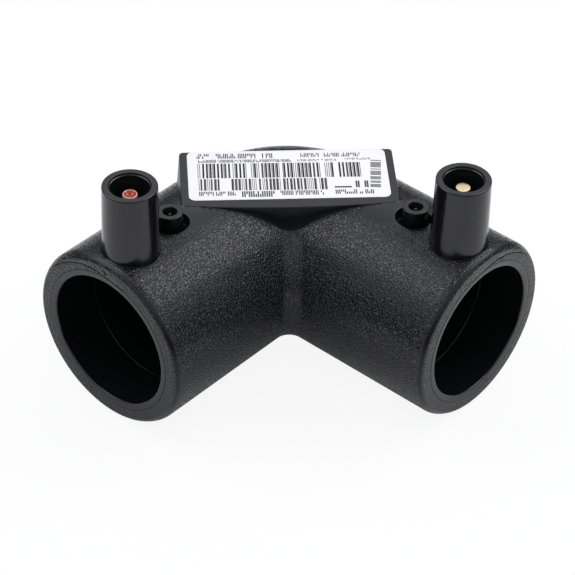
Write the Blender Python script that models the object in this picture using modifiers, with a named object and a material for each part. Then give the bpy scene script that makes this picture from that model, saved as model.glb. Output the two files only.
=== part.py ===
"""Electrofusion elbow, 90 degrees, for 32 mm pipe.

One moulded body holds two sockets, the label plate, two terminal shrouds and two fusion indicator bosses.
A single heating wire lies in a helical groove in each socket and joins the feet of the two terminal pins.
One socket opens towards +X (right) and one towards -Y (left); the shrouds stand up along +Z.
"""

import math

import bmesh
import bpy
from mathutils import Matrix, Vector

# Pipe and sockets
pipe_diameter = 0.032
pipe_clearance = 0.0002
wall_thickness = 0.0054
socket_depth = 0.038
stop_shoulder = 0.001
stop_width = 0.0031
bend_radius = 0.0145
crotch_fillet = 0.0037
lip_radius = 0.0013
mouth_chamfer_width = 0.00115
mouth_chamfer_depth = 0.0008

# Terminal shrouds and pins, the shroud's place measured back from the mouth
shroud_setback = 0.008
shroud_height = 0.0169
shroud_top_diameter = 0.0122
shroud_foot_diameter = 0.0127
shroud_bore_diameter = 0.0086
shroud_bore_depth = 0.012
shroud_edge = 0.0003
pin_diameter = 0.0034
pin_setback = 0.0022
pin_foot_wall = 0.0028
pin_edge = 0.00025
collar_diameter = 0.0052
collar_height = 0.0022
collar_depth = 0.0011
dimple_diameter = 0.0024
dimple_depth = 0.0004

# Fusion indicators, the boss's place measured back from the shroud
boss_spacing = 0.0123
boss_diameter = 0.0058
boss_height = 0.0031
boss_bore_diameter = 0.00315
boss_bore_depth = 0.0041
pocket_width = 0.0076
pocket_stretch = 0.0008
pocket_floor_wall = 0.0024
indicator_diameter = 0.0012
indicator_setback = 0.0006
indicator_foot_wall = 0.0018

# Label plate and label, measured from the axes' crossing along the bisector
plate_back = 0.001
plate_front = 0.0214
plate_bow = 0.0012
plate_width = 0.049
plate_rise = 0.00025
plate_corner = 0.001
label_back = 0.00115
label_front = 0.01955
label_width = 0.0455
label_corner = 0.0016
label_thickness = 0.0002

# Heating wire
wire_diameter = 0.0007
wire_cover = 0.0002
winding_start = 0.0112
winding_pitch = 0.003
winding_turns = 5
link_inset = 0.0027
link_step = 0.0027
link_bend = 0.003
groove_run_on = 0.0009

# Way of the wire down from a pin's foot, as shares of the height between the foot and the winding
lead_start_share = 0.1
lead_bend_share = 0.5
lead_landing_share = 0.2

# Clearance kept between a piece and its seat
fit_gap = 0.0003

# How far a joined feature reaches into the body, and a cutter past the face it opens
root_overlap = 0.0005
overshoot = 0.001

# Mesh fineness
round_steps = 48
bore_steps = 40
small_steps = 24
bend_steps = 10
lip_steps = 4
turn_steps = 20
sharp_angle = math.radians(30)

# Sizes worked out from the ones above. A station is a distance along a socket's axis from the axes' crossing
bore_radius = (pipe_diameter + pipe_clearance) / 2
socket_radius = bore_radius + wall_thickness
waterway_radius = bore_radius - stop_width
stop_station = bore_radius + crotch_fillet + stop_shoulder
face_distance = stop_station + socket_depth
shroud_station = face_distance - shroud_setback
boss_station = shroud_station - boss_spacing
shroud_top = socket_radius + shroud_height
shroud_floor = shroud_top - shroud_bore_depth
boss_top = socket_radius + boss_height
plate_top = socket_radius + plate_rise
pin_top = shroud_top - pin_setback
pin_foot = bore_radius + pin_foot_wall
pocket_floor = bore_radius + pocket_floor_wall
indicator_foot = bore_radius + indicator_foot_wall
crossing = Vector((-(face_distance - socket_radius) / 2, (face_distance - socket_radius) / 2, socket_radius))

collection = bpy.data.collections.new("electrofusion_elbow")
cutter_collection = bpy.data.collections.new("cutters")


def clear_scene():
    for item in list(bpy.data.objects):
        bpy.data.objects.remove(item, do_unlink=True)
    bpy.context.scene.collection.children.link(collection)
    bpy.context.scene.collection.children.link(cutter_collection)


def make_material(name, colour, roughness, metallic=0.0):
    material = bpy.data.materials.new(name)
    material.use_nodes = True
    shader = material.node_tree.nodes["Principled BSDF"]
    shader.inputs["Base Color"].default_value = (*colour, 1.0)
    shader.inputs["Roughness"].default_value = roughness
    shader.inputs["Metallic"].default_value = metallic
    return material


def shade(mesh):
    mesh.shade_smooth()
    mesh.set_sharp_from_angle(angle=sharp_angle)


def add_part(name, mesh, material):
    shade(mesh)
    mesh.materials.clear()
    mesh.materials.append(material)
    part = bpy.data.objects.new(name, mesh)
    collection.objects.link(part)
    return part


def add_tool(name, mesh):
    """A guide for a Boolean: it isn't part of the object."""
    shade(mesh)
    tool = bpy.data.objects.new(name, mesh)
    tool.hide_render = True
    tool.display_type = "WIRE"
    cutter_collection.objects.link(tool)
    return tool


def boolean(part, tool, operation):
    modifier = part.modifiers.new(tool.name, "BOOLEAN")
    modifier.operation = operation
    modifier.solver = "EXACT"
    modifier.object = tool


def side_matrix(side):
    """Places a shape drawn about the socket that runs along +X from the axes' crossing."""
    turn = 0.0 if side == "right" else -math.pi / 2
    return Matrix.Translation(crossing) @ Matrix.Rotation(turn, 4, "Z")


def plate_matrix(height):
    """Places an outline whose +X runs along the bisector towards the crotch."""
    return Matrix.Translation(crossing + Vector((0, 0, height))) @ Matrix.Rotation(-math.pi / 4, 4, "Z")


def bend_path(across, stations):
    """Level line at one offset from the sockets' axes: left mouth, round the bend, right mouth."""
    radius = max(bend_radius - across, crotch_fillet)
    centre = across + radius
    path = [(across, -station) for station in reversed(stations)]
    for step in range(bend_steps + 1):
        angle = math.pi / 2 * step / bend_steps
        path.append((centre - radius * math.cos(angle), -centre + radius * math.sin(angle)))
    return path + [(station, -across) for station in stations]


def elbow_solid(name, profile, steps):
    """Closed bent tube. The profile gives (station, radius) from the bend outwards, for both sides."""
    bend_profile_radius = profile[0][1]
    outline = [radius for _, radius in reversed(profile)] + [bend_profile_radius] * (bend_steps + 1)
    outline += [radius for _, radius in profile]
    stations = [station for station, _ in profile]
    bm = bmesh.new()
    rows = []
    for step in range(steps):
        angle = 2 * math.pi * step / steps
        row = []
        for place, radius in enumerate(outline):
            x, y = bend_path(radius * math.cos(angle), stations)[place]
            row.append(bm.verts.new((x, y, radius * math.sin(angle))))
        rows.append(row)
    for step in range(steps):
        row = rows[step]
        following = rows[(step + 1) % steps]
        for place in range(len(outline) - 1):
            bm.faces.new((row[place], row[place + 1], following[place + 1], following[place]))
    bm.faces.new([row[0] for row in rows])
    bm.faces.new([row[-1] for row in rows])
    bmesh.ops.recalc_face_normals(bm, faces=bm.faces[:])
    bm.transform(Matrix.Translation(crossing))
    mesh = bpy.data.meshes.new(name)
    bm.to_mesh(mesh)
    bm.free()
    return mesh


def turned(name, profile, steps, matrix):
    """Solid turned about its own Z axis from (radius, height) points that start and end on the axis."""
    bm = bmesh.new()
    points = [bm.verts.new((radius, 0, height)) for radius, height in profile]
    for first, second in zip(points, points[1:]):
        bm.edges.new((first, second))
    outline = bpy.data.meshes.new(name + "_profile")
    bm.to_mesh(outline)
    bm.free()
    guide = bpy.data.objects.new(name + "_profile", outline)
    cutter_collection.objects.link(guide)
    screw = guide.modifiers.new("turn", "SCREW")
    screw.axis = "Z"
    screw.steps = steps
    screw.render_steps = steps
    screw.use_merge_vertices = True
    screw.merge_threshold = 0.00001
    mesh = baked(guide, name, matrix)
    bpy.data.objects.remove(guide, do_unlink=True)
    return mesh


def baked(guide, name, matrix):
    """The evaluated mesh of an object, welded, facing out, and moved to its place."""
    depsgraph = bpy.context.evaluated_depsgraph_get()
    mesh = bpy.data.meshes.new_from_object(guide.evaluated_get(depsgraph))
    mesh.name = name
    bm = bmesh.new()
    bm.from_mesh(mesh)
    bmesh.ops.remove_doubles(bm, verts=bm.verts[:], dist=0.00001)
    bmesh.ops.recalc_face_normals(bm, faces=bm.faces[:])
    bm.transform(matrix)
    bm.to_mesh(mesh)
    bm.free()
    return mesh


def prism(name, outline, height, matrix):
    """Flat outline of (x, y) points raised along +Z."""
    bm = bmesh.new()
    face = bm.faces.new([bm.verts.new((x, y, 0)) for x, y in outline])
    raised = bmesh.ops.extrude_face_region(bm, geom=[face])
    tops = [item for item in raised["geom"] if isinstance(item, bmesh.types.BMVert)]
    bmesh.ops.translate(bm, verts=tops, vec=(0, 0, height))
    bmesh.ops.recalc_face_normals(bm, faces=bm.faces[:])
    bm.transform(matrix)
    mesh = bpy.data.meshes.new(name)
    bm.to_mesh(mesh)
    bm.free()
    return mesh


def wire_tube(name, points, radius):
    """Round tube along a list of points, closed at both ends."""
    curve = bpy.data.curves.new(name, "CURVE")
    curve.dimensions = "3D"
    curve.bevel_depth = radius
    curve.bevel_resolution = 1
    curve.use_fill_caps = True
    spline = curve.splines.new("POLY")
    spline.points.add(len(points) - 1)
    for point, place in zip(spline.points, points):
        point.co = (*place, 1.0)
    guide = bpy.data.objects.new(name + "_curve", curve)
    cutter_collection.objects.link(guide)
    mesh = baked(guide, name, Matrix.Translation(crossing))
    bpy.data.objects.remove(guide, do_unlink=True)
    return mesh


def arc(centre, radius, start, end, steps):
    cx, cy = centre
    angles = [start + (end - start) * step / steps for step in range(steps + 1)]
    return [(cx + radius * math.cos(angle), cy + radius * math.sin(angle)) for angle in angles]


def rounded_outline(back, front, width, corner, bow=0.0, steps=4):
    """Rounded rectangle from back to front along X, whose front edge may bow outwards."""
    half = width / 2
    quarter = math.pi / 2
    points = arc((back + corner, half - corner), corner, 2 * quarter, quarter, steps)
    points += arc((front - corner, half - corner), corner, quarter, 0.0, steps)
    if bow > 0:
        reach = half - corner
        bow_radius = (reach * reach + bow * bow) / (2 * bow)
        spread = math.asin(reach / bow_radius)
        points += arc((front + bow - bow_radius, 0.0), bow_radius, spread, -spread, 4 * steps)[1:-1]
    points += arc((front - corner, corner - half), corner, 0.0, -quarter, steps)
    points += arc((back + corner, corner - half), corner, -quarter, -2 * quarter, steps)
    return points


def outer_skin():
    """Both sockets and the bend between them, with rounded lips at the mouths."""
    profile = [(face_distance - lip_radius, socket_radius)]
    for step in range(1, lip_steps + 1):
        angle = math.pi / 2 * step / lip_steps
        station = face_distance - lip_radius + lip_radius * math.sin(angle)
        profile.append((station, socket_radius - lip_radius + lip_radius * math.cos(angle)))
    return elbow_solid("elbow_body", profile, round_steps)


def inner_hollow():
    """Waterway round the bend, the pipe stops, the two socket bores and their mouth chamfers."""
    slope = mouth_chamfer_width / mouth_chamfer_depth
    profile = [
        (stop_station, waterway_radius),
        (stop_station, bore_radius),
        (face_distance - mouth_chamfer_depth, bore_radius),
        (face_distance + overshoot, bore_radius + slope * (mouth_chamfer_depth + overshoot)),
    ]
    return elbow_solid("inner_hollow", profile, bore_steps)


def place_at(side, station):
    return side_matrix(side) @ Matrix.Translation((station, 0, 0))


def side_height(offset):
    """Height of the socket's round side above its axis, at a distance beside the axis."""
    return math.sqrt(max(socket_radius * socket_radius - offset * offset, 0.0))


def shroud(side):
    foot = side_height(shroud_foot_diameter / 2) - root_overlap
    profile = [
        (0, foot),
        (shroud_foot_diameter / 2, foot),
        (shroud_top_diameter / 2, shroud_top - shroud_edge),
        (shroud_top_diameter / 2 - shroud_edge, shroud_top),
        (0, shroud_top),
    ]
    return turned("shroud_" + side, profile, round_steps, place_at(side, shroud_station))


def terminal_well(side):
    """Bore of the shroud, and below its floor the seat of the pin and of the pin's collar."""
    bore = shroud_bore_diameter / 2
    seat = pin_diameter / 2 + fit_gap
    collar_seat = collar_diameter / 2 + fit_gap
    collar_top = shroud_floor - collar_depth + fit_gap
    collar_foot = collar_top - collar_height - 2 * fit_gap
    profile = [
        (0, pin_foot - fit_gap),
        (seat, pin_foot - fit_gap),
        (seat, collar_foot),
        (collar_seat, collar_foot),
        (collar_seat, collar_top),
        (seat, collar_top),
        (seat, shroud_floor),
        (bore, shroud_floor),
        (bore, shroud_top - shroud_edge),
        (bore + shroud_edge + overshoot, shroud_top + overshoot),
        (0, shroud_top + overshoot),
    ]
    return turned("terminal_well_" + side, profile, small_steps, place_at(side, shroud_station))


def terminal_pin(side):
    """Contact pin with a collar that the moulding grips. The left one has a dimple in its end."""
    radius = pin_diameter / 2
    collar_top = shroud_floor - collar_depth
    profile = [
        (0, pin_foot),
        (radius, pin_foot),
        (radius, collar_top - collar_height),
        (collar_diameter / 2, collar_top - collar_height),
        (collar_diameter / 2, collar_top),
        (radius, collar_top),
        (radius, pin_top - pin_edge),
        (radius - pin_edge, pin_top),
    ]
    if side == "left":
        profile += [(dimple_diameter / 2, pin_top), (0, pin_top - dimple_depth)]
    else:
        profile += [(0, pin_top)]
    return turned("terminal_pin_" + side, profile, small_steps, place_at(side, shroud_station))


def boss(side):
    root = pocket_floor - root_overlap
    radius = boss_diameter / 2
    profile = [(0, root), (radius, root), (radius, boss_top), (0, boss_top)]
    return turned("boss_" + side, profile, small_steps, place_at(side, boss_station))


def boss_pocket(side):
    """Oval pocket round a boss, longer on the side of the label plate."""
    radius = pocket_width / 2
    outline = arc((0, 0), radius, -math.pi / 2, math.pi / 2, small_steps // 2)
    outline += arc((-pocket_stretch, 0), radius, math.pi / 2, 3 * math.pi / 2, small_steps // 2)
    floor = Matrix.Translation((0, 0, pocket_floor))
    depth = socket_radius - pocket_floor + overshoot
    return prism("pocket_" + side, outline, depth, place_at(side, boss_station) @ floor)


def indicator_hole(side):
    wide = boss_bore_diameter / 2
    narrow = indicator_diameter / 2 + fit_gap
    step_height = boss_top - boss_bore_depth
    bottom = indicator_foot - fit_gap
    profile = [
        (0, bottom),
        (narrow, bottom),
        (narrow, step_height),
        (wide, step_height),
        (wide, boss_top + overshoot),
        (0, boss_top + overshoot),
    ]
    return turned("indicator_hole_" + side, profile, small_steps, place_at(side, boss_station))


def indicator_pin(side):
    """Small pin with a round head. Melt pushes it up when the joint is fused."""
    radius = indicator_diameter / 2
    head = boss_top - indicator_setback - radius
    profile = [(0, indicator_foot), (radius, indicator_foot)]
    for step in range(lip_steps + 1):
        angle = math.pi / 2 * step / lip_steps
        across = radius * math.cos(angle) if step < lip_steps else 0.0
        profile.append((across, head + radius * math.sin(angle)))
    return turned("indicator_pin_" + side, profile, small_steps // 2, place_at(side, boss_station))


def label_plate():
    outline = rounded_outline(plate_back, plate_front, plate_width, plate_corner, plate_bow)
    root = min(side_height((x - abs(y)) / math.sqrt(2)) for x, y in outline) - root_overlap
    return prism("label_plate", outline, plate_top - root, plate_matrix(root))


def label():
    outline = rounded_outline(label_back, label_front, label_width, label_corner)
    return prism("label", outline, label_thickness, plate_matrix(plate_top + fit_gap))


def wire_route():
    """Points of the wire about the right socket, from the pin's foot to the middle of the link."""
    lay_radius = bore_radius + wire_diameter / 2 + wire_cover / 2
    first_station = face_distance - winding_start
    foot = pin_foot - fit_gap
    middle = (shroud_station + first_station) / 2
    rise = foot - lay_radius
    route = [
        (shroud_station, 0.0, foot - lead_start_share * rise),
        (shroud_station, 0.0, foot - lead_bend_share * rise),
        (middle, 0.0, lay_radius + lead_landing_share * rise),
    ]
    total = winding_turns * turn_steps + turn_steps // 4
    for step in range(total + 1):
        angle = math.pi / 2 + 2 * math.pi * step / turn_steps
        station = first_station - winding_pitch * step / turn_steps
        route.append((station, lay_radius * math.cos(angle), lay_radius * math.sin(angle)))
    last_station = first_station - winding_pitch * total / turn_steps
    offset = bore_radius + link_inset
    route.append((last_station - link_step, -offset, 0.0))
    centre = offset + link_bend
    for step in range(3):
        angle = math.pi / 2 * (1 - step / 4)
        route.append((centre - link_bend * math.cos(angle), -centre + link_bend * math.sin(angle), 0.0))
    return route


def whole_route():
    """The route on the right, then its mirror image on the left."""
    right = wire_route()
    left = [(-y, -x, z) for x, y, z in reversed(right[:-1])]
    return right + left


def groove_route():
    """As the wire, but its ends run on into the pins' seats."""
    route = whole_route()
    first = route[0]
    last = route[-1]
    route[0] = (first[0], first[1], first[2] + groove_run_on)
    route[-1] = (last[0], last[1], last[2] + groove_run_on)
    return route


def build_body(material):
    body = add_part("elbow_body", outer_skin(), material)
    for side in ("left", "right"):
        boolean(body, add_tool("cut_pocket_" + side, boss_pocket(side)), "DIFFERENCE")
    for side in ("left", "right"):
        boolean(body, add_tool("join_boss_" + side, boss(side)), "UNION")
        boolean(body, add_tool("join_shroud_" + side, shroud(side)), "UNION")
    boolean(body, add_tool("join_plate", label_plate()), "UNION")
    boolean(body, add_tool("cut_hollow", inner_hollow()), "DIFFERENCE")
    for side in ("left", "right"):
        boolean(body, add_tool("cut_well_" + side, terminal_well(side)), "DIFFERENCE")
        boolean(body, add_tool("cut_indicator_" + side, indicator_hole(side)), "DIFFERENCE")
    groove = wire_tube("groove", groove_route(), wire_diameter / 2 + fit_gap)
    boolean(body, add_tool("cut_groove", groove), "DIFFERENCE")


def build():
    clear_scene()
    black = make_material("black_polyethylene", (0.012, 0.012, 0.013), 0.5)
    brass = make_material("brass", (0.8, 0.66, 0.4), 0.3, 1.0)
    red_brass = make_material("red_marked_brass", (0.75, 0.25, 0.18), 0.4, 0.3)
    copper = make_material("resistance_wire", (0.45, 0.4, 0.36), 0.35, 1.0)
    paper = make_material("white_label", (0.88, 0.88, 0.88), 0.45)
    build_body(black)
    add_part("heating_wire", wire_tube("heating_wire", whole_route(), wire_diameter / 2), copper)
    add_part("terminal_pin_left", terminal_pin("left"), red_brass)
    add_part("terminal_pin_right", terminal_pin("right"), brass)
    for side in ("left", "right"):
        add_part("indicator_pin_" + side, indicator_pin(side), black)
    add_part("label", label(), paper)


build()
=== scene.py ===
"""Looks of a 90 degree electrofusion elbow for 32 mm pipe.

The shapes are drawn in millimetres about the point where the axes of the two sockets cross, and
in_place() puts them where the elbow stands. The right socket runs along +X, the left one along -Y,
and the shrouds stand up along +Z. A station is a distance from the crossing along a socket. A clock
angle goes round the end of a socket, from 0 on the side of the crotch to 90 at the top.
"""

import math

import bmesh
import bpy
from mathutils import Matrix, Vector


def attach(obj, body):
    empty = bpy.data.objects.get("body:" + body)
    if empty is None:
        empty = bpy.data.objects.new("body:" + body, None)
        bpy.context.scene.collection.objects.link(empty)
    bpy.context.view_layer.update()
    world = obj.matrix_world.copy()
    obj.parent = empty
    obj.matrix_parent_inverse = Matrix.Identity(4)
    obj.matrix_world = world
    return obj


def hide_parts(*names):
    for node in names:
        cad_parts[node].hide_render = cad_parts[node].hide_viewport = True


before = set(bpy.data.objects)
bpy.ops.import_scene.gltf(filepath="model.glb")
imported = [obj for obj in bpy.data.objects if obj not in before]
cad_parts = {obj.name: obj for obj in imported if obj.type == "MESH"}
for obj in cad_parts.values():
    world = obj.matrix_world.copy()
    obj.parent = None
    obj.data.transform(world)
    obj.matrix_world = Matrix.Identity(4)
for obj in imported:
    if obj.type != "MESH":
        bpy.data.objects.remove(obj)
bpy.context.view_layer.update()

MM = 0.001
CROSSING = Vector((-18.65, 18.65, 21.5))
QUARTER = math.pi / 2
SIDES = ("left", "right")

# Sockets and bend
SKIN_R = 21.5
BORE_R = 16.1
WATERWAY_R = 13.0
BEND_R = 14.5
CROTCH_FILLET = 3.7
FACE = 58.8
STOP = 20.8
SKIN_STEPS = 240
BORE_STEPS = 160
BEND_STEPS = 30

# Outer edge of a socket's end, as (station, radius), with a fine ring round the mouth
LIP_PROFILE = [
    (56.7, 21.5), (57.1, 21.47), (57.4, 21.38), (57.65, 21.28), (57.85, 21.17), (58.05, 21.07),
    (58.25, 20.94), (58.43, 20.8), (58.58, 20.65), (58.7, 20.47), (58.77, 20.28), (58.795, 20.14),
    (58.8, 20.0), (58.8, 18.9), (58.8, 17.78), (58.745, 17.68), (58.8, 17.58), (58.8, 17.3),
]
LIP_BY_RADIUS = sorted((r, station) for station, r in LIP_PROFILE if 17.9 < r < 21.1)
CREST_R = 20.56

# Marks scored in the ends, as (clock angle, radius). Outside the line the grain is softer.
SCORED_LINE = [
    (74, 17.6), (83, 17.75), (94, 18.2), (104, 18.8), (113, 19.25), (123, 19.6), (134, 20.05),
    (144, 20.45), (152, 20.8),
]
NICK = [(91.5, 19.35), (90.2, 18.9), (89.5, 18.45)]

# Shrouds and pins
SHROUD_STATION = 50.8
SHROUD_TOP = 38.4
SHROUD_TOP_R = 6.1
SHROUD_FOOT_R = 6.35
SHROUD_BORE_R = 4.3
SHROUD_FLOOR = 26.4
SHROUD_STEPS = 96
PIN_R = 1.65
PIN_TOP = 36.2
PIN_GAP = 0.1

# Indicator bosses in their pockets
BOSS_STATION = 38.5
BOSS_TOP = 24.6
BOSS_R = 2.9
BOSS_BORE_R = 1.575
BOSS_BORE_FLOOR = 20.5
POCKET_FLOOR = 18.5
POCKET_R = 3.8
POCKET_STRETCH = 0.8
INDICATOR_R = 0.6
INDICATOR_TOP = 24.0
INDICATOR_FOOT = 17.7
SMALL_STEPS = 48

# Plate and label, along the bisector (back, front) and across it (width)
PLATE_BACK = 1.0
PLATE_FRONT = 21.4
PLATE_BOW = 1.2
PLATE_WIDTH = 49.0
PLATE_TOP = 21.54
LABEL_BACK = 1.15
LABEL_FRONT = 19.55
LABEL_WIDTH = 45.5
LABEL_TOP = 21.66

# Winding
WIRE_R = 0.35
WIRE_SIDES = 8
WINDING_DEPTH = 11.2
WINDING_PITCH = 1.5
WINDING_TURNS = 10
WINDING_STEPS = 48

# Ovals round the boss and at the plate's corner where the mould was polished, as
# (station, offset, half length, half width)
POLISHED_OVALS = [(36.5, 0.0, 7.4, 5.0), (31.5, -1.0, 6.0, 6.2)]

# Finishes of the body, in the order of its materials. The third is rougher, and its weaker
# reflection is painted shade in wells, bores, grooves and walls. The fourth is a painted dark
# band on the crest of the lip.
ERODED, SMOOTH, DULL_AND_PAINTED_SHADE, PAINTED_DARK_CREST = range(4)

SHARP_ANGLE = math.radians(30)
WELD = 0.0004
SINK = 0.012


# Meshes


def in_place(matrix=Matrix()):
    """From millimetres about the crossing, after a move of the piece's own, to metres."""
    return Matrix.Scale(MM, 4) @ Matrix.Translation(CROSSING) @ matrix


def at_station(side, station):
    turn = Matrix.Rotation(0.0 if side == "right" else -QUARTER, 4, "Z")
    return turn @ Matrix.Translation((station, 0, 0))


def mirrored(point):
    """The same place on the other socket."""
    return Vector((-point[1], -point[0], point[2]))


def linked(name, data):
    item = bpy.data.objects.new(name, data)
    bpy.context.scene.collection.objects.link(item)
    return item


def evaluated_mesh(item):
    depsgraph = bpy.context.evaluated_depsgraph_get()
    return bpy.data.meshes.new_from_object(item.evaluated_get(depsgraph))


def mesh_from(name, verts, faces):
    mesh = bpy.data.meshes.new(name)
    mesh.from_pydata(verts, [], faces)
    bm = bmesh.new()
    bm.from_mesh(mesh)
    bmesh.ops.recalc_face_normals(bm, faces=bm.faces[:])
    bm.to_mesh(mesh)
    bm.free()
    return mesh


def ring(radius, height, steps):
    """Points round the Z axis."""
    angles = [2 * math.pi * i / steps for i in range(steps)]
    return [(radius * math.cos(angle), radius * math.sin(angle), height) for angle in angles]


def quads(rows, count):
    """Faces between closed rows of points, each with as many points as the others."""
    faces = []
    for level in range(rows - 1):
        low, high = level * count, (level + 1) * count
        for i in range(count):
            j = (i + 1) % count
            faces.append((low + i, low + j, high + j, high + i))
    return faces


def loft(name, rows):
    """Solid over closed rows of points, capped at both ends."""
    count = len(rows[0])
    verts = [point for row in rows for point in row]
    faces = quads(len(rows), count)
    faces.append(tuple(range(count)))
    faces.append(tuple(range(len(verts) - count, len(verts))))
    return mesh_from(name, verts, faces)


def turned(name, profile, steps, matrix):
    """Solid round its own Z axis from (radius, height), which starts and ends on the axis."""
    rows = [ring(radius, height, steps) for radius, height in profile if radius > 0]
    verts = [point for row in rows for point in row]
    faces = quads(len(rows), steps)
    verts += [(0, 0, profile[0][1]), (0, 0, profile[-1][1])]
    last = (len(rows) - 1) * steps
    for i in range(steps):
        j = (i + 1) % steps
        faces.append((len(verts) - 2, j, i))
        faces.append((len(verts) - 1, last + i, last + j))
    mesh = mesh_from(name, verts, faces)
    mesh.transform(matrix)
    return mesh


def skin_height(offset):
    """Height of a socket's skin at a distance beside its axis."""
    return math.sqrt(max(SKIN_R * SKIN_R - offset * offset, 0.0))


def outline_solid(name, outline, rows, matrix):
    """Solid from a flat outline of (x, y, nx, ny) and rows of (outset, height, on_skin).

    A row on the skin follows the socket's round side, and its height is measured from there.
    """
    levels = []
    for outset, height, on_skin in rows:
        level = []
        for x, y, nx, ny in outline:
            px, py = x + nx * outset, y + ny * outset
            level.append((px, py, height + (skin_height(py) if on_skin else 0.0)))
        levels.append(level)
    mesh = loft(name, levels)
    mesh.transform(matrix)
    return mesh


def arc_outline(cx, cy, radius, start, end, steps):
    """Points on an arc with their outward normals."""
    points = []
    for i in range(steps + 1):
        angle = start + (end - start) * i / steps
        nx, ny = math.cos(angle), math.sin(angle)
        points.append((cx + radius * nx, cy + radius * ny, nx, ny))
    return points


def circle_outline(radius, steps):
    return arc_outline(0, 0, radius, 0, 2 * math.pi * (steps - 1) / steps, steps - 1)


def rounded_outline(back, front, width, corner, bow=0.0, steps=8):
    """Rectangle with rounded corners, and a front side that may bow out."""
    half = width / 2
    points = arc_outline(back + corner, half - corner, corner, 2 * QUARTER, QUARTER, steps)
    points += arc_outline(front - corner, half - corner, corner, QUARTER, 0, steps)
    if bow > 0:
        reach = half - corner
        bow_r = (reach * reach + bow * bow) / (2 * bow)
        spread = math.asin(reach / bow_r)
        points += arc_outline(front + bow - bow_r, 0, bow_r, spread, -spread, 6 * steps)[1:-1]
    points += arc_outline(front - corner, corner - half, corner, 0, -QUARTER, steps)
    points += arc_outline(back + corner, corner - half, corner, -QUARTER, -2 * QUARTER, steps)
    return points


def quarter_turn(steps):
    """(sine, cosine) over a quarter turn."""
    angles = [QUARTER * i / steps for i in range(steps + 1)]
    return [(math.sin(angle), math.cos(angle)) for angle in angles]


def round_edge(radius, top, steps=4):
    """Rows over a rounded top edge: from the wall up and inwards."""
    return [
        (radius * (cosine - 1), top - radius + radius * sine, False)
        for sine, cosine in quarter_turn(steps)
    ]


def root_fillet(radius, steps=5):
    """Rows on the skin that sweep up from it into a wall."""
    return [
        (radius * (1 - sine), radius * (1 - cosine) - SINK, True)
        for sine, cosine in quarter_turn(steps)
    ]


def shade(mesh):
    mesh.shade_smooth()
    mesh.set_sharp_from_angle(angle=SHARP_ANGLE)


def even_shading(mesh):
    """The mesh with normals that follow its large faces, so that no edge darkens the skin."""
    shade(mesh)
    item = linked("shaded", mesh)
    weighted = item.modifiers.new("weighted", "WEIGHTED_NORMAL")
    weighted.keep_sharp = True
    result = evaluated_mesh(item)
    bpy.data.objects.remove(item, do_unlink=True)
    return result


def piece(name, mesh, materials):
    """A finished piece: its object at the origin, its place in its mesh."""
    shade(mesh)
    if not mesh.materials:
        for material in materials:
            mesh.materials.append(material)
    mesh.name = name
    return linked(name, mesh)


def combine(base, steps):
    """Joins and cuts a mesh with others, in order: (mesh, "UNION" or "DIFFERENCE")."""
    body = linked("blank", base)
    for mesh, operation in steps:
        tool = linked("tool", mesh)
        boolean = body.modifiers.new("join", "BOOLEAN")
        boolean.operation = operation
        boolean.solver = "MANIFOLD"
        boolean.object = tool
        result = evaluated_mesh(body)
        body.modifiers.clear()
        body.data = result
        bpy.data.objects.remove(tool, do_unlink=True)
    result = body.data
    bpy.data.objects.remove(body, do_unlink=True)
    return result


# Bent tube


def bend_offset(across):
    return max(BEND_R - across, CROTCH_FILLET)


def tube_section(radius, steps):
    """(across, height) of the points round a section."""
    angles = [2 * math.pi * i / steps for i in range(steps)]
    return [(radius * math.cos(angle), radius * math.sin(angle)) for angle in angles]


def elbow_rows(profile, blend_station, blend_rows, steps):
    """Rows of a bent tube, left mouth to right mouth.

    The profile of (station, radius) runs from the blend station out to the mouth. Before it come
    rows that lead from the bend, which is tighter at the crotch, to a straight section.
    """
    radius = profile[0][1]

    def blended(share):
        section = []
        for across, z in tube_section(radius, steps):
            start = across + bend_offset(across)
            section.append((start + (blend_station - start) * share, across, z))
        return section

    def straight(station, r):
        return [(station, across, z) for across, z in tube_section(r, steps)]

    def bent(turn):
        row = []
        for across, z in tube_section(radius, steps):
            b = bend_offset(across)
            c = across + b
            row.append((c - b * math.cos(turn), -c + b * math.sin(turn), z))
        return row

    sections = [blended(i / blend_rows) for i in range(1, blend_rows + 1)]
    sections += [straight(station, r) for station, r in profile]
    rows = [[(across, -station, z) for station, across, z in section]
            for section in reversed(sections)]
    rows += [bent(QUARTER * k / BEND_STEPS) for k in range(BEND_STEPS + 1)]
    rows += [[(station, -across, z) for station, across, z in section] for section in sections]
    return rows


def outer_skin():
    profile = [(station, SKIN_R) for station in range(28, 57)] + LIP_PROFILE
    return loft("skin", elbow_rows(profile, 27.0, 9, SKIN_STEPS))


def inner_hollow():
    """Waterway round the bend, pipe stops, socket bores and mouth chamfers."""
    profile = [
        (STOP - 0.3, WATERWAY_R), (STOP, WATERWAY_R + 0.3), (STOP, BORE_R - 0.5),
        (STOP + 0.15, BORE_R - 0.15), (STOP + 0.5, BORE_R),
    ]
    profile += [(float(station), BORE_R) for station in range(23, 58, 2)]
    profile += [
        (58.0, BORE_R), (58.4, BORE_R), (58.52, BORE_R + 0.02), (58.62, BORE_R + 0.08),
        (58.69, BORE_R + 0.17), (58.725, BORE_R + 0.32), (58.9, 18.6), (59.8, 19.2),
    ]
    return loft("hollow", elbow_rows(profile, 20.2, 2, BORE_STEPS))


# Shrouds, bosses, plate and scored marks


def shroud(side):
    draft = SHROUD_FOOT_R - SHROUD_TOP_R
    rows = [(0.1, 17.2, False), (0.2, -0.7, True)] + root_fillet(0.2)
    rows += [(0, 24.0, False), (-0.3 * draft, 28.0, False), (-0.6 * draft, 32.0, False)]
    rows += [(outset - draft, height, flag) for outset, height, flag in round_edge(0.3, SHROUD_TOP)]
    outline = circle_outline(SHROUD_FOOT_R, SHROUD_STEPS)
    return outline_solid("shroud", outline, rows, at_station(side, SHROUD_STATION))


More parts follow.
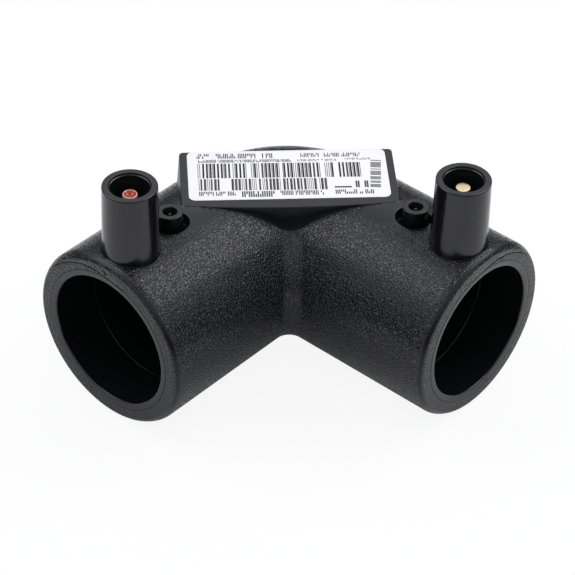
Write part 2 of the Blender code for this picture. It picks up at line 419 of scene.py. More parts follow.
def terminal_well(side):
    """Space round a pin, with a seat for the pin's foot and a stepped rim."""
    profile = [
        (0, SHROUD_FLOOR - 1.5),
        (PIN_R + PIN_GAP, SHROUD_FLOOR - 1.5),
        (PIN_R + PIN_GAP, SHROUD_FLOOR),
        (SHROUD_BORE_R - 0.6, SHROUD_FLOOR),
        (SHROUD_BORE_R - 0.3, SHROUD_FLOOR + 0.1),
        (SHROUD_BORE_R - 0.1, SHROUD_FLOOR + 0.5),
        (SHROUD_BORE_R, SHROUD_TOP - 0.62),
        (SHROUD_BORE_R + 0.05, SHROUD_TOP - 0.54),
        (SHROUD_BORE_R + 0.22, SHROUD_TOP - 0.48),
        (SHROUD_BORE_R + 0.27, SHROUD_TOP - 0.42),
        (SHROUD_BORE_R + 0.29, SHROUD_TOP - 0.16),
        (SHROUD_BORE_R + 0.36, SHROUD_TOP - 0.05),
        (SHROUD_BORE_R + 0.5, SHROUD_TOP + 0.02),
        (SHROUD_BORE_R + 0.6, SHROUD_TOP + 1.0),
        (0, SHROUD_TOP + 1.0),
    ]
    return turned("well", profile, SHROUD_STEPS, at_station(side, SHROUD_STATION))


def pocket(side):
    """Its floor has a rounded corner, and its mouth a rounded edge that follows the skin."""
    floor_r, mouth_r = 0.2, 0.25
    rows = [(floor_r * (sine - 1), POCKET_FLOOR + floor_r * (1 - cosine), False)
            for sine, cosine in quarter_turn(4)]
    rows += [(mouth_r * (1 - cosine), mouth_r * (sine - 1) + SINK, True)
             for sine, cosine in quarter_turn(4)]
    rows += [(mouth_r + 0.05, 0.7, True), (mouth_r, 24.0, False)]
    half = SMALL_STEPS // 2
    outline = arc_outline(0, 0, POCKET_R, -QUARTER, QUARTER, half)
    outline += arc_outline(-POCKET_STRETCH, 0, POCKET_R, QUARTER, 3 * QUARTER, half)
    return outline_solid("pocket", outline, rows, at_station(side, BOSS_STATION))


def boss(side):
    root_r = 0.35
    rows = [(0, POCKET_FLOOR - 0.6, False), (root_r, POCKET_FLOOR - 0.4, False)]
    rows += [(root_r * (1 - sine), POCKET_FLOOR - 0.01 + root_r * (1 - cosine), False)
             for sine, cosine in quarter_turn(4)]
    rows += round_edge(0.22, BOSS_TOP)
    outline = circle_outline(BOSS_R, SMALL_STEPS)
    return outline_solid("boss", outline, rows, at_station(side, BOSS_STATION))


def indicator_hole(side):
    foot_r = INDICATOR_R + 0.12
    profile = [
        (0, INDICATOR_FOOT - 0.1),
        (foot_r, INDICATOR_FOOT - 0.1),
        (foot_r, BOSS_BORE_FLOOR),
        (BOSS_BORE_R - 0.1, BOSS_BORE_FLOOR),
        (BOSS_BORE_R, BOSS_BORE_FLOOR + 0.1),
        (BOSS_BORE_R, BOSS_TOP - 0.15),
        (BOSS_BORE_R + 0.15, BOSS_TOP + 0.01),
        (BOSS_BORE_R + 0.2, BOSS_TOP + 1.0),
        (0, BOSS_TOP + 1.0),
    ]
    return turned("indicator_hole", profile, SMALL_STEPS, at_station(side, BOSS_STATION))


def label_plate():
    outline = rounded_outline(PLATE_BACK, PLATE_FRONT, PLATE_WIDTH, 1.0, PLATE_BOW)
    rows = [(0.65, 11.8, False)] + round_edge(0.2, PLATE_TOP)
    return outline_solid("plate", outline, rows, Matrix.Rotation(-QUARTER / 2, 4, "Z"))


def between(points, value):
    """Straight interpolation in (value, result) points that are in order of value."""
    for (low, first), (high, second) in zip(points, points[1:]):
        if value <= high:
            share = max(value - low, 0.0) / (high - low)
            return first + (second - first) * share
    return points[-1][1]


def scored(side, line, half, deep):
    """Cutter for a fine V along a line of (clock angle, radius) on the end of a socket."""
    marks = []
    for clock, r in line:
        angle = math.radians(clock)
        marks.append((r * math.cos(angle), r * math.sin(angle), between(LIP_BY_RADIUS, r)))
    rows = []
    for i, (across, z, station) in enumerate(marks):
        before, after = marks[max(i - 1, 0)], marks[min(i + 1, len(marks) - 1)]
        run_across, run_z = after[0] - before[0], after[1] - before[1]
        run = math.hypot(run_across, run_z)
        nx, nz = -1.5 * half * run_z / run, 1.5 * half * run_across / run
        over = station + deep / 2
        rows.append([(over, -across - nx, z + nz), (over, -across + nx, z - nz),
                     (station - deep, -across, z)])
    mesh = loft("score", rows)
    if side == "left":
        for vert in mesh.vertices:
            vert.co = mirrored(vert.co)
        mesh.flip_normals()
    return mesh


# Finishes of the body


def crest_distances(point):
    """(station, offset beside the axis) about the nearer socket. The offset grows outwards."""
    right = (point.x, point.y)
    left = (-point.y, -point.x)
    return right if right[0] > left[0] else left


def clock_angle(offset, height):
    return math.degrees(math.atan2(height, -offset))


def polish_at(point):
    """1 where the mould was smooth, 0 where it was spark-eroded."""
    station, offset = crest_distances(point)
    if station > 57.9:
        return polish_at_end(offset, point.z)
    if point.z < 12:
        return 0.0
    near = min(math.hypot((station - middle) / half_length, (offset - beside) / half_width)
               for middle, beside, half_length, half_width in POLISHED_OVALS)
    return min(max((1.18 - near) / 0.36, 0.0), 1.0)


def polish_at_end(offset, height):
    """The end is smoother low down by the crotch, and outside the scored line."""
    clock = clock_angle(offset, height)
    outside = 75 < clock < 152 and math.hypot(offset, height) > between(SCORED_LINE, clock)
    return max(min(1.6 - abs(clock + 40) / 22, 0.9), 0.4 if outside else 0.0)


def finish_of(centre, normal):
    """The finish of a face of the body."""
    station, offset = crest_distances(centre)
    beside = math.hypot(offset, centre.z)
    # The waterway, the pipe stops and the bores are darkened with painted shade.
    if station < FACE - 0.75 and beside < 17.0 and in_hollow(centre):
        return DULL_AND_PAINTED_SHADE
    if station > 57.15 and beside > 15:
        return finish_of_end(station, offset, centre.z, max(normal.x, -normal.y))
    if centre.z > 17:
        from_shroud = math.hypot(station - SHROUD_STATION, offset)
        if from_shroud < SHROUD_FOOT_R + 0.3:
            return finish_of_shroud(from_shroud, centre.z)
        from_boss = station - BOSS_STATION
        stretch = min(max(from_boss, -POCKET_STRETCH), 0)
        if math.hypot(from_boss - stretch, offset) < POCKET_R + 0.3:
            # The pocket's floor and walls, and the boss's side, are darkened with painted shade.
            return SMOOTH if normal.z > 0.5 and centre.z > POCKET_FLOOR + 1 else DULL_AND_PAINTED_SHADE
    return finish_of_plate(centre, normal)


def finish_of_end(station, offset, height, axial):
    """Painted dark band on the lip's crest, scored marks rougher with painted shade, smooth mouth.
    The rest is eroded.
    """
    beside = math.hypot(offset, height)
    # From clock angle -45 to 125 the crest is darkened by a weaker reflection, a painted dark band.
    if station > 57.75 and beside > CREST_R:
        clock = clock_angle(offset, height)
        inner_edge = CREST_R + 0.02 * max(clock - 95, 0)
        return PAINTED_DARK_CREST if -45 < clock < 125 and beside > inner_edge else ERODED
    if station < 57.9 and beside > 20:
        return ERODED
    # The walls of the scored marks are darkened with painted shade.
    if station > 58.2 and 17.2 < beside < 20.2 and axial < 0.93:
        return DULL_AND_PAINTED_SHADE
    return SMOOTH if beside < 17.7 else ERODED


def finish_of_shroud(from_axis, height):
    """Smooth but for the well, the step in the rim and the fillet at the foot, rougher with painted
    shade.
    """
    well = from_axis < SHROUD_BORE_R + 0.1 and height < SHROUD_TOP - 0.5
    step = from_axis < SHROUD_BORE_R + 0.3 and SHROUD_TOP - 0.42 < height < SHROUD_TOP - 0.1
    foot = from_axis > SHROUD_FOOT_R + 0.015
    return DULL_AND_PAINTED_SHADE if well or step or foot else SMOOTH


def finish_of_plate(centre, normal):
    """The plate's top is smooth, its walls rougher with painted shade. The rest is the eroded skin.
    """
    along = (centre.x - centre.y) / math.sqrt(2)
    over = (centre.x + centre.y) / math.sqrt(2)
    near = 0.8
    on_plate = (PLATE_BACK - near < along < PLATE_FRONT + PLATE_BOW + near
                and abs(over) < PLATE_WIDTH / 2 + near)
    if abs(normal.z) < 0.09 and centre.z > 10 and on_plate:
        return DULL_AND_PAINTED_SHADE
    flat_top = normal.z > 0.999 and abs(centre.z - PLATE_TOP) < 0.02
    return SMOOTH if flat_top or (on_plate and centre.z > PLATE_TOP - 0.3) else ERODED


def in_hollow(centre):
    """True for a point on the waterway, a pipe stop or a bore."""
    for station, offset in ((centre.x, centre.y), (-centre.y, -centre.x)):
        beside = math.hypot(offset, centre.z)
        if station > STOP - 0.5 and abs(beside - BORE_R) < 0.6:
            return True
        if abs(station - STOP) < 0.5 and beside < BORE_R + 0.2:
            return True
    return math.hypot(*bend_section(centre)) < WATERWAY_R + 1.0


def bend_section(centre):
    """(offset, height) of a point about the bent centre line."""
    if centre.x > BEND_R:
        return centre.y, centre.z
    if -centre.y > BEND_R:
        return centre.x, centre.z
    return BEND_R - math.hypot(centre.x - BEND_R, centre.y + BEND_R), centre.z


def build_body(finishes):
    steps = [(scored("left", NICK, 0.24, 0.4), "DIFFERENCE")]
    for side in SIDES:
        steps.append((scored(side, SCORED_LINE, 0.13, 0.11), "DIFFERENCE"))
        steps.append((pocket(side), "DIFFERENCE"))
    for side in SIDES:
        steps += [(boss(side), "UNION"), (shroud(side), "UNION")]
    steps += [(label_plate(), "UNION"), (inner_hollow(), "DIFFERENCE")]
    for side in SIDES:
        steps += [(terminal_well(side), "DIFFERENCE"), (indicator_hole(side), "DIFFERENCE")]
    mesh = combine(outer_skin(), steps)
    mesh.materials.clear()
    bm = bmesh.new()
    bm.from_mesh(mesh)
    bmesh.ops.remove_doubles(bm, verts=bm.verts[:], dist=WELD)
    bmesh.ops.dissolve_degenerate(bm, edges=bm.edges[:], dist=WELD)
    polish = bm.verts.layers.float.new("polish")
    for vert in bm.verts:
        vert[polish] = polish_at(vert.co)
    for face in bm.faces:
        face.material_index = finish_of(face.calc_center_median(), face.normal)
    bm.transform(in_place())
    bm.to_mesh(mesh)
    bm.free()
    return piece("elbow_skin", even_shading(mesh), finishes)


# Pins


def terminal_pin(side, materials):
    """The left pin has a dimple in its end, and the right one is flat."""
    edge = 0.2
    foot = SHROUD_FLOOR - 1.4
    profile = [(0, foot), (PIN_R, foot), (PIN_R, PIN_TOP - edge)]
    profile += [(PIN_R - edge + edge * cosine, PIN_TOP - edge + edge * sine)
                for sine, cosine in quarter_turn(3)[1:]]
    if side == "left":
        dimple = [(1.36, 0), (1.3, 0.05), (1.14, 0.26), (0.94, 0.46), (0.68, 0.62), (0.36, 0.72),
                  (0, 0.75)]
        profile += [(radius, PIN_TOP - depth) for radius, depth in dimple]
    else:
        profile += [(0.5, PIN_TOP - 0.01), (0, PIN_TOP - 0.015)]
    mesh = turned("pin", profile, 64, in_place(at_station(side, SHROUD_STATION)))
    return piece("terminal_contact_" + side, mesh, materials)


def indicator_pin(side, materials):
    profile = [(0, INDICATOR_FOOT), (INDICATOR_R, INDICATOR_FOOT)]
    tip = [(INDICATOR_R, 0.6), (0.52, 0.45), (0.34, 0.08), (0.29, 0.02), (0.24, 0), (0, 0)]
    profile += [(radius, INDICATOR_TOP - depth) for radius, depth in tip]
    mesh = turned("indicator", profile, 32, in_place(at_station(side, BOSS_STATION)))
    return piece("indicator_" + side, mesh, materials)


# Geometry Nodes


def geometry_tree(name, inputs):
    """A tree with named inputs of (name, socket type, default), its input and its output node."""
    tree = bpy.data.node_groups.new(name, "GeometryNodeTree")
    tree.interface.new_socket("Geometry", in_out="INPUT", socket_type="NodeSocketGeometry")
    tree.interface.new_socket("Geometry", in_out="OUTPUT", socket_type="NodeSocketGeometry")
    for label, kind, default in inputs:
        socket = tree.interface.new_socket(label, in_out="INPUT", socket_type=kind)
        if default is not None:
            socket.default_value = default
    return tree, tree.nodes.new("NodeGroupInput"), tree.nodes.new("NodeGroupOutput")


def connect(tree, *pairs):
    for start, end in pairs:
        tree.links.new(start, end)


def finish_tree(tree, source, result, geometry):
    """Realize Instances and Set Material at the end of a tree."""
    realize = tree.nodes.new("GeometryNodeRealizeInstances")
    paint = tree.nodes.new("GeometryNodeSetMaterial")
    connect(
        tree,
        (geometry, realize.inputs["Geometry"]),
        (realize.outputs["Geometry"], paint.inputs["Geometry"]),
        (source.outputs["Material"], paint.inputs["Material"]),
        (paint.outputs["Geometry"], result.inputs["Geometry"]),
    )


def run_tree(tree, mesh, values):
    """The mesh that the tree makes from this one, with its named inputs set."""
    item = linked("source", mesh)
    modifier = item.modifiers.new("nodes", "NODES")
    modifier.node_group = tree
    for socket in tree.interface.items_tree:
        if socket.item_type == "SOCKET" and socket.in_out == "INPUT" and socket.name in values:
            modifier[socket.identifier] = values[socket.name]
    result = evaluated_mesh(item)
    bpy.data.objects.remove(item, do_unlink=True)
    return result


def wound_wire_tree():
    """Round wire along a line of points."""
    tree, source, result = geometry_tree("wound wire", (
        ("Wire radius", "NodeSocketFloat", WIRE_R * MM),
        ("Sides", "NodeSocketInt", WIRE_SIDES),
        ("Material", "NodeSocketMaterial", None),
    ))
    to_curve = tree.nodes.new("GeometryNodeMeshToCurve")
    section = tree.nodes.new("GeometryNodeCurvePrimitiveCircle")
    sweep = tree.nodes.new("GeometryNodeCurveToMesh")
    sweep.inputs["Fill Caps"].default_value = True
    connect(
        tree,
        (source.outputs["Geometry"], to_curve.inputs["Mesh"]),
        (source.outputs["Wire radius"], section.inputs["Radius"]),
        (source.outputs["Sides"], section.inputs["Resolution"]),
        (to_curve.outputs["Curve"], sweep.inputs["Curve"]),
        (section.outputs["Curve"], sweep.inputs["Profile Curve"]),
    )
    finish_tree(tree, source, result, sweep.outputs["Mesh"])
    return tree


def printed_bars_tree():
    """Bars on the spots of a line that a fixed seed picks. Neighbours join to wider bars."""
    tree, source, result = geometry_tree("printed bars", (
        ("Count", "NodeSocketInt", 40),
        ("Module", "NodeSocketFloat", 0.0003),
        ("Height", "NodeSocketFloat", 0.006),
        ("Ink", "NodeSocketFloat", 0.00002),
        ("Fill", "NodeSocketFloat", 0.5),
        ("Bar share", "NodeSocketFloat", 1.0),
        ("Seed", "NodeSocketInt", 1),
        ("Material", "NodeSocketMaterial", None),
    ))
    line = tree.nodes.new("GeometryNodeMeshLine")
    step = tree.nodes.new("ShaderNodeCombineXYZ")
    size = tree.nodes.new("ShaderNodeCombineXYZ")
    width = tree.nodes.new("ShaderNodeMath")
    width.operation = "MULTIPLY"
    bar = tree.nodes.new("GeometryNodeMeshCube")
    chance = tree.nodes.new("FunctionNodeRandomValue")
    chance.data_type = "BOOLEAN"
    spots = tree.nodes.new("GeometryNodeInstanceOnPoints")
    picked = [socket for socket in chance.outputs if socket.type == "BOOLEAN"][0]
    connect(
        tree,
        (source.outputs["Count"], line.inputs["Count"]),
        (source.outputs["Module"], step.inputs["X"]),
        (step.outputs["Vector"], line.inputs["Offset"]),
        (source.outputs["Module"], width.inputs[0]),
        (source.outputs["Bar share"], width.inputs[1]),
        (width.outputs["Value"], size.inputs["X"]),
        (source.outputs["Height"], size.inputs["Y"]),
        (source.outputs["Ink"], size.inputs["Z"]),
        (size.outputs["Vector"], bar.inputs["Size"]),
        (source.outputs["Fill"], chance.inputs["Probability"]),
        (source.outputs["Seed"], chance.inputs["Seed"]),
        (line.outputs["Mesh"], spots.inputs["Points"]),
        (picked, spots.inputs["Selection"]),
        (bar.outputs["Mesh"], spots.inputs["Instance"]),
    )
    finish_tree(tree, source, result, spots.outputs["Instances"])
    return tree


# Winding


def winding():
    """Points of the right socket's winding, mouth first, sunk in the wall after the first turn."""
    points = []
    for i in range(WINDING_TURNS * WINDING_STEPS + 1):
        turns = i / WINDING_STEPS
        angle = QUARTER + 2 * math.pi * turns
        station = FACE - WINDING_DEPTH - WINDING_PITCH * turns
        lay = BORE_R + 0.245 + 0.1 * min(max(turns - 0.9, 0.0) / 0.2, 1.0)
        points.append(Vector((station, lay * math.cos(angle), lay * math.sin(angle))))
    return points


def build_winding(material):
    """One wire: a pin's foot, a winding, the link inside the wall, and the same on the left."""
    lead = [Vector((SHROUD_STATION, 0, SHROUD_FLOOR - 3)), Vector((SHROUD_STATION, 0, 18.6))]
    right = lead + winding()
    end = right[-1]
    right += [Vector((end.x - 1.0, -18.2, 6.0)), Vector((26.0, -19.3, 0)), Vector((22.5, -20.0, 0))]
    middle = [Vector((20.8, -20.8, 0))]
    points = right + middle + [mirrored(point) for point in reversed(right)]
    route = bpy.data.meshes.new("wire_route")
    route.from_pydata([tuple(p) for p in points], [(i, i + 1) for i in range(len(points) - 1)], [])
    route.transform(in_place())
    mesh = run_tree(wound_wire_tree(), route, {"Material": material})
    return piece("winding_wire", mesh, [material])


# Label

# The print is turned a little on the plate, and its ink lies just over the paper.
PRINT_TURN = 0.013
INK_LIE = 0.006

# Rows of bars: (across from, across to, back, front, module, fill, bar share, seed). Backs and
# fronts are on the middle line.
BAR_ROWS = [
    (-19.6, 16.8, 6.0, 11.6, 0.84, 0.68, 0.52, 11),
    (-20.6, 16.9, 6.0, 11.6, 0.42, 0.62, 0.36, 22),
    (-20.2, 9.0, 11.92, 16.25, 0.78, 0.66, 0.5, 12),
    (-20.5, 9.1, 11.92, 16.25, 0.39, 0.62, 0.36, 23),
    (10.2, 14.2, 15.1, 15.65, 0.3, 1.0, 1.02, 17),
    (15.0, 18.9, 13.1, 15.6, 0.5, 0.8, 0.8, 18),
]

# Small rows are printed in two halves, so that they look like words from afar.
WORD_ROWS = [
    (-20.6, -17.4, 2.24, 4.1, 0.42, 0.8, 0.6, 3),
    (-16.2, -6.9, 2.24, 4.1, 0.42, 0.78, 0.6, 4),
    (-5.6, -3.0, 2.24, 4.1, 0.42, 0.8, 0.6, 5),
    (3.2, 7.8, 2.3, 3.8, 0.4, 0.76, 0.56, 6),
    (8.6, 17.0, 2.3, 3.8, 0.4, 0.76, 0.56, 7),
    (-20.6, 1.2, 4.55, 5.65, 0.3, 0.8, 0.62, 8),
    (2.4, 11.5, 4.65, 5.5, 0.3, 0.66, 0.5, 9),
    (13.2, 19.4, 4.3, 5.05, 0.3, 0.6, 0.5, 10),
    (-20.5, -11.8, 16.65, 18.2, 0.38, 0.75, 0.6, 13),
    (-10.9, -3.2, 16.6, 18.8, 0.5, 0.8, 0.66, 14),
    (-2.6, 7.9, 16.5, 18.2, 0.38, 0.75, 0.6, 15),
    (10.2, 19.4, 16.4, 18.0, 0.42, 0.74, 0.62, 16),
]
SECOND_HALF_SEED = 50

# One row that stands upright at the label's end: (back, front, across, height, module, fill, bar
# share, seed)
END_ROW = (5.7, 16.2, 20.4, 2.4, 0.42, 0.6, 0.7, 21)
END_ROW_TURN = -0.09


def printed_bars(tree, ink, length, height, module, fill, share, seed):
    """One row of bars in metres, along X from the origin."""
    return run_tree(tree, bpy.data.meshes.new("bars"), {
        "Count": int(length / module),
        "Module": module * MM,
        "Height": height * MM,
        "Ink": 2 * INK_LIE * MM,
        "Fill": fill,
        "Bar share": share,
        "Seed": seed,
        "Material": ink,
    })


def build_label(paper, ink):
    """Sticker with rounded corners, and its printed bars."""
    turn = Matrix.Rotation(-QUARTER / 2, 4, "Z")
    outline = rounded_outline(LABEL_BACK, LABEL_FRONT, LABEL_WIDTH, 1.6)
    rows = [(0, PLATE_TOP + 0.004, False)] + round_edge(0.03, LABEL_TOP, 2)
    sheet = outline_solid("sheet", outline, rows, in_place(turn))

    tree = printed_bars_tree()
    bm = bmesh.new()

    def lay(mesh, along, across, angle):
        spot = Matrix.Translation((along, across, LABEL_TOP + INK_LIE))
        spot = spot @ Matrix.Rotation(angle, 4, "Z") @ Matrix.Scale(1 / MM, 4)
        mesh.transform(in_place(turn) @ spot)
        bm.from_mesh(mesh)

    halves = []
    for low, high, back, front, *rest, seed in WORD_ROWS:
        middle = (back + front) / 2
        halves.append((low, high, back, middle, *rest, seed))
        halves.append((low, high, middle, front, *rest, seed + SECOND_HALF_SEED))
    for low, high, back, front, module, fill, share, seed in BAR_ROWS + halves:
        mesh = printed_bars(tree, ink, high - low, front - back, module, fill, share, seed)
        across = low + module / 2
        lay(mesh, (back + front) / 2 + PRINT_TURN * across, across, QUARTER - PRINT_TURN)
    back, front, across, *rest = END_ROW
    lay(printed_bars(tree, ink, front - back, *rest), back, across, END_ROW_TURN)

    printed = bpy.data.meshes.new("print")
    bm.to_mesh(printed)
    bm.free()
    return piece("label_sheet", sheet, [paper]), piece("label_print", printed, [ink])


# Materials


def new_material(name, colour, roughness, metallic=0.0, specular=0.5):
    """A material, its tree and its shader.

    Where nodes set the colour or the roughness, these values only stand in for them in a viewer
    that can't read nodes.
    """
    material = bpy.data.materials.new(name)
    material.use_nodes = True
    shader = material.node_tree.nodes["Principled BSDF"]
    shader.inputs["Base Color"].default_value = (*colour, 1)
    shader.inputs["Roughness"].default_value = roughness
    shader.inputs["Metallic"].default_value = metallic
    shader.inputs["Specular IOR Level"].default_value = specular
    return material, material.node_tree, shader


def object_point(tree):
    return tree.nodes.new("ShaderNodeTexCoord").outputs["Object"]


def noise(tree, vector, scale, detail):
    node = tree.nodes.new("ShaderNodeTexNoise")
    node.inputs["Scale"].default_value = scale
    node.inputs["Detail"].default_value = detail
    tree.links.new(vector, node.inputs["Vector"])
    return node.outputs["Fac"]


def math_node(tree, operation, first, second, clamp=False):
    node = tree.nodes.new("ShaderNodeMath")
    node.operation = operation
    node.use_clamp = clamp
    for socket, value in zip(node.inputs, (first, second)):
        if isinstance(value, (int, float)):
            socket.default_value = value
        else:
            tree.links.new(value, socket)
    return node.outputs["Value"]


def spread(tree, value, low, high, to_low, to_high):
    """Maps a value from one range to another."""
    node = tree.nodes.new("ShaderNodeMapRange")
    ends = (("From Min", low), ("From Max", high), ("To Min", to_low), ("To Max", to_high))
    for name, number in ends:
        node.inputs[name].default_value = number
    tree.links.new(value, node.inputs["Value"])
    return node.outputs["Result"]


def bump(tree, shader, height, distance):
    node = tree.nodes.new("ShaderNodeBump")
    node.inputs["Strength"].default_value = 1.0
    node.inputs["Distance"].default_value = distance
    tree.links.new(height, node.inputs["Height"])
    tree.links.new(node.outputs["Normal"], shader.inputs["Normal"])


def varied_roughness(tree, shader, value, low, high, to_low, to_high):
    tree.links.new(spread(tree, value, low, high, to_low, to_high), shader.inputs["Roughness"])


def colour_mix(tree, shader, factor, low, high):
    node = tree.nodes.new("ShaderNodeMix")
    node.data_type = "RGBA"
    inputs = [socket for socket in node.inputs if socket.type == "RGBA"]
    inputs[0].default_value = (*low, 1)
    inputs[1].default_value = (*high, 1)
    tree.links.new(factor, node.inputs["Factor"])
    output = [socket for socket in node.outputs if socket.type == "RGBA"][0]
    tree.links.new(output, shader.inputs["Base Color"])


def eroded_plastic():
    """Black polyethylene from a spark-eroded mould, smooth where the polish attribute says so."""
    material, tree, shader = new_material("eroded black polyethylene", (0.004, 0.004, 0.0045), 0.3)
    grain = spread(tree, noise(tree, object_point(tree), 2500, 0.0), 0.38, 0.64, 0.0, 1.0)
    polish = tree.nodes.new("ShaderNodeAttribute")
    polish.attribute_name = "polish"
    smoothed = math_node(tree, "MULTIPLY", polish.outputs["Fac"], 0.9)
    rough = math_node(tree, "SUBTRACT", 1.0, smoothed)
    bump(tree, shader, math_node(tree, "MULTIPLY", grain, rough), 0.00011)
    varied_roughness(tree, shader, grain, 0.0, 1.0, 0.32, 0.14)
    # Bright specks in the base colour: partly the grain's own tone, partly painted glints of the
    # grain. Polish takes them away.
    grain_and_painted_glints = math_node(tree, "MULTIPLY", math_node(tree, "POWER", grain, 6.0), rough)
    colour_mix(tree, shader, grain_and_painted_glints, (0.0001, 0.0004, 0.0006), (0.014, 0.0145, 0.016))
    return material


def smooth_plastic():
    colour = (0.0035, 0.0035, 0.004)
    material, tree, shader = new_material("smooth black polyethylene", colour, 0.22)
    point = object_point(tree)
    haze = noise(tree, point, 160, 2)
    fine = math_node(tree, "MULTIPLY", noise(tree, point, 1500, 2), 0.15)
    bump(tree, shader, math_node(tree, "ADD", haze, fine), 0.00006)
    varied_roughness(tree, shader, haze, 0.3, 0.7, 0.14, 0.22)
    return material


def dull_plastic_with_painted_shade(name, specular):
    # A rougher copy of the black polyethylene whose weaker reflection, set by the specular level,
    # is painted shade.
    colour = (0.0035, 0.0055, 0.0052)
    material, tree, shader = new_material(name, colour, 0.35, specular=specular)
    haze = noise(tree, object_point(tree), 240, 2)
    bump(tree, shader, haze, 0.00005)
    varied_roughness(tree, shader, haze, 0.3, 0.7, 0.24, 0.34)
    return material


def coated_wire():
    colour = (0.002, 0.0024, 0.0026)
    material, tree, shader = new_material("coated resistance wire", colour, 0.35, specular=0.18)
    bump(tree, shader, noise(tree, object_point(tree), 900, 2), 0.00003)
    return material


def brass():
    material, tree, shader = new_material("turned brass", (0.9, 0.74, 0.46), 0.3, metallic=1.0)
    point = object_point(tree)
    varied_roughness(tree, shader, noise(tree, point, 1800, 3), 0.3, 0.7, 0.24, 0.42)
    colour_mix(tree, shader, noise(tree, point, 700, 2), (0.8, 0.62, 0.36), (0.88, 0.72, 0.47))
    bump(tree, shader, noise(tree, point, 2600, 2), 0.00001)
    return material


def marked_brass():
    """Red lacquer in the dimple of a brass pin, thin and pale over its rim."""
    colour = (0.7, 0.16, 0.12)
    material, tree, shader = new_material("red marked brass", colour, 0.24, metallic=0.35)
    point = object_point(tree)
    axis = in_place(at_station("left", SHROUD_STATION)).translation
    flat = tree.nodes.new("ShaderNodeVectorMath")
    flat.operation = "MULTIPLY_ADD"
    flat.inputs[1].default_value = (1, 1, 0)
    flat.inputs[2].default_value = (-axis.x, -axis.y, 0)
    reach = tree.nodes.new("ShaderNodeVectorMath")
    reach.operation = "LENGTH"
    tree.links.new(point, flat.inputs[0])
    tree.links.new(flat.outputs["Vector"], reach.inputs[0])
    wear_and_painted_shade = math_node(tree, "MULTIPLY", noise(tree, point, 1500, 2), 0.0003)
    from_axis = math_node(tree, "ADD", reach.outputs["Value"], wear_and_painted_shade)
    rim = spread(tree, from_axis, 0.00138, 0.00162, 0.0, 1.0)
    colour_mix(tree, shader, rim, (0.32, 0.038, 0.022), (0.78, 0.45, 0.36))
    bump(tree, shader, noise(tree, point, 900, 2), 0.00002)
    return material


def label_paper():
    material, tree, shader = new_material("label paper", (0.8, 0.8, 0.81), 0.38)
    fibre = noise(tree, object_point(tree), 3000, 3)
    colour_mix(tree, shader, fibre, (0.785, 0.78, 0.765), (0.835, 0.83, 0.815))
    bump(tree, shader, fibre, 0.000005)
    return material


def label_ink():
    material, tree, shader = new_material("printed ink", (0.03, 0.03, 0.033), 0.45)
    blotch = noise(tree, object_point(tree), 2200, 2)
    colour_mix(tree, shader, blotch, (0.02, 0.02, 0.023), (0.06, 0.06, 0.064))
    return material


# Stage

# Share of the white background that gloss shows. With more of it the elbow's flanks turn grey.
GLOSS_SHARE = 0.05

# Light of the room as (height, level), from the horizon and all below it up to the zenith
ROOM_LIGHT = [
    (0.0, 0.02), (0.15, 0.07), (0.3, 0.34), (0.45, 0.84), (0.65, 1.12), (0.84, 1.05), (1.0, 0.2),
]
ROOM_TINT = (0.96, 0.97, 1.06, 1)
WHITE = (1, 1, 1, 1)

# Lamps: (name, power, place), both of one size and turned to the elbow
LAMPS = [("right", 0.98, (0.145, 0.29, 0.41)), ("left", 0.68, (-0.27, -0.17, 0.42))]
LAMP_SIZE = (0.3, 0.35)
LAMP_TARGET = (0, 0, 0.03)

FLOOR_R = 0.16
FLOOR_DROP = 0.0002
FLOOR_LIFT = 0.9


def seen_as_background(tree):
    """1 for the camera and through glass, and the share of it that gloss shows."""
    rays = tree.nodes.new("ShaderNodeLightPath").outputs
    direct = math_node(tree, "ADD", rays["Is Camera Ray"], rays["Is Transmission Ray"], clamp=True)
    glossy = math_node(tree, "MULTIPLY", rays["Is Glossy Ray"], GLOSS_SHARE)
    return math_node(tree, "ADD", direct, glossy, clamp=True)


def mix_shaders(tree, factor, first, second, surface):
    mix = tree.nodes.new("ShaderNodeMixShader")
    connect(
        tree,
        (factor, mix.inputs["Fac"]),
        (first, mix.inputs[1]),
        (second, mix.inputs[2]),
        (mix.outputs["Shader"], surface),
    )


def floor_material():
    """White paper, lifted to white for the camera, with the elbow's shadow kept."""
    material, tree, shader = new_material("white floor", (0.88, 0.88, 0.88), 0.9, specular=0.1)
    glow = tree.nodes.new("ShaderNodeEmission")
    glow.inputs["Strength"].default_value = 1.0
    lift = math_node(tree, "MULTIPLY", seen_as_background(tree), FLOOR_LIFT)
    surface = tree.nodes["Material Output"].inputs["Surface"]
    mix_shaders(tree, lift, shader.outputs["BSDF"], glow.outputs["Emission"], surface)
    return material


def camera():
    """The photograph's own view, from the ellipses of the mouths, rims and label corners."""
    azimuth, elevation, roll = math.radians(40.24), math.radians(39.09), math.radians(1.712)
    distance, aside, below = 570.962, 1.498, 15.405
    back = Vector((math.sin(azimuth) * math.cos(elevation),
                   -math.cos(azimuth) * math.cos(elevation),
                   math.sin(elevation)))
    right = Vector((math.cos(azimuth), math.sin(azimuth), 0))
    up = back.cross(right)
    place = (CROSSING + distance * back + aside * right - below * up) * MM
    across = math.cos(roll) * right + math.sin(roll) * up
    over = math.cos(roll) * up - math.sin(roll) * right
    data = bpy.data.cameras.new("camera")
    data.sensor_width = 36
    data.lens = 151.534
    item = linked("camera", data)
    facing = Matrix((across, over, back)).transposed().to_4x4()
    item.matrix_world = Matrix.Translation(place) @ facing
    bpy.context.scene.camera = item


def softbox(name, power, place):
    data = bpy.data.lights.new(name, "AREA")
    data.shape = "RECTANGLE"
    data.size, data.size_y = LAMP_SIZE
    data.energy = power
    item = linked(name, data)
    item.location = place
    aim = Vector(LAMP_TARGET) - Vector(place)
    item.rotation_euler = aim.to_track_quat("-Z", "Y").to_euler()


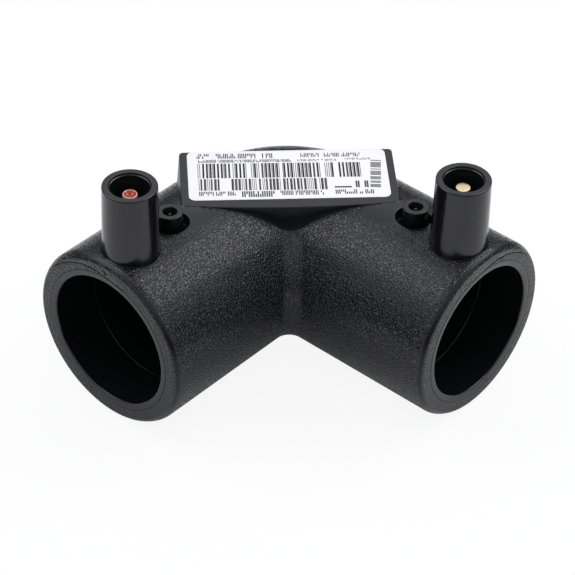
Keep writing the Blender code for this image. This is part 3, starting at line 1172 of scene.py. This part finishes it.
def studio():
    """A room dark at eye level and pale higher up, and white where the camera looks at it."""
    world = bpy.data.worlds.new("studio")
    bpy.context.scene.world = world
    world.use_nodes = True
    tree = world.node_tree
    room = tree.nodes["Background"]
    room.inputs["Color"].default_value = ROOM_TINT
    point = tree.nodes.new("ShaderNodeTexCoord")
    direction = tree.nodes.new("ShaderNodeSeparateXYZ")
    dome = tree.nodes.new("ShaderNodeValToRGB")
    stops = dome.color_ramp.elements
    for height, _ in ROOM_LIGHT[1:-1]:
        stops.new(height)
    for stop, (height, level) in zip(stops, ROOM_LIGHT):
        stop.position = height
        stop.color = (level, level, level, 1)
    connect(
        tree,
        (point.outputs["Generated"], direction.inputs["Vector"]),
        (direction.outputs["Z"], dome.inputs["Fac"]),
        (dome.outputs["Color"], room.inputs["Strength"]),
    )
    white = tree.nodes.new("ShaderNodeBackground")
    white.inputs["Color"].default_value = WHITE
    surface = tree.nodes["World Output"].inputs["Surface"]
    mix_shaders(tree, seen_as_background(tree), room.outputs["Background"],
                white.outputs["Background"], surface)


def stage():
    studio()
    for lamp in LAMPS:
        softbox(*lamp)
    edge = ring(FLOOR_R, -FLOOR_DROP, 96)
    mesh = bpy.data.meshes.new("floor")
    mesh.from_pydata(edge, [], [tuple(range(len(edge)))])
    mesh.materials.append(floor_material())
    floor = linked("floor", mesh)
    bpy.context.scene.view_settings.view_transform = "Standard"


# Assembly


def dress(item, slot, *nodes):
    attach(item, "root")
    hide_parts(*nodes)


camera()
stage()

# Two darker copies of the plastic: painted shade in wells, bores, grooves and walls, and a painted
# dark band on the lip's crest.
dull_and_painted_shade = dull_plastic_with_painted_shade("dull black polyethylene", 0.13)
wear_and_painted_shade = dull_plastic_with_painted_shade("worn black polyethylene", 0.28)
body = build_body([eroded_plastic(), smooth_plastic(), dull_and_painted_shade, wear_and_painted_shade])
dress(body, "body", "elbow_body")
brass_finish, marked_finish = brass(), marked_brass()
dress(terminal_pin("left", [marked_finish]), "marked_pin", "terminal_pin_left")
dress(terminal_pin("right", [brass_finish]), "pin", "terminal_pin_right")
pin_plastic = smooth_plastic()
for side in SIDES:
    dress(indicator_pin(side, [pin_plastic]), "indicator", "indicator_pin_" + side)
dress(build_winding(coated_wire()), "wire", "heating_wire")
label_sheet, label_print = build_label(label_paper(), label_ink())
dress(label_sheet, "label", "label")
dress(label_print, "label", "label")
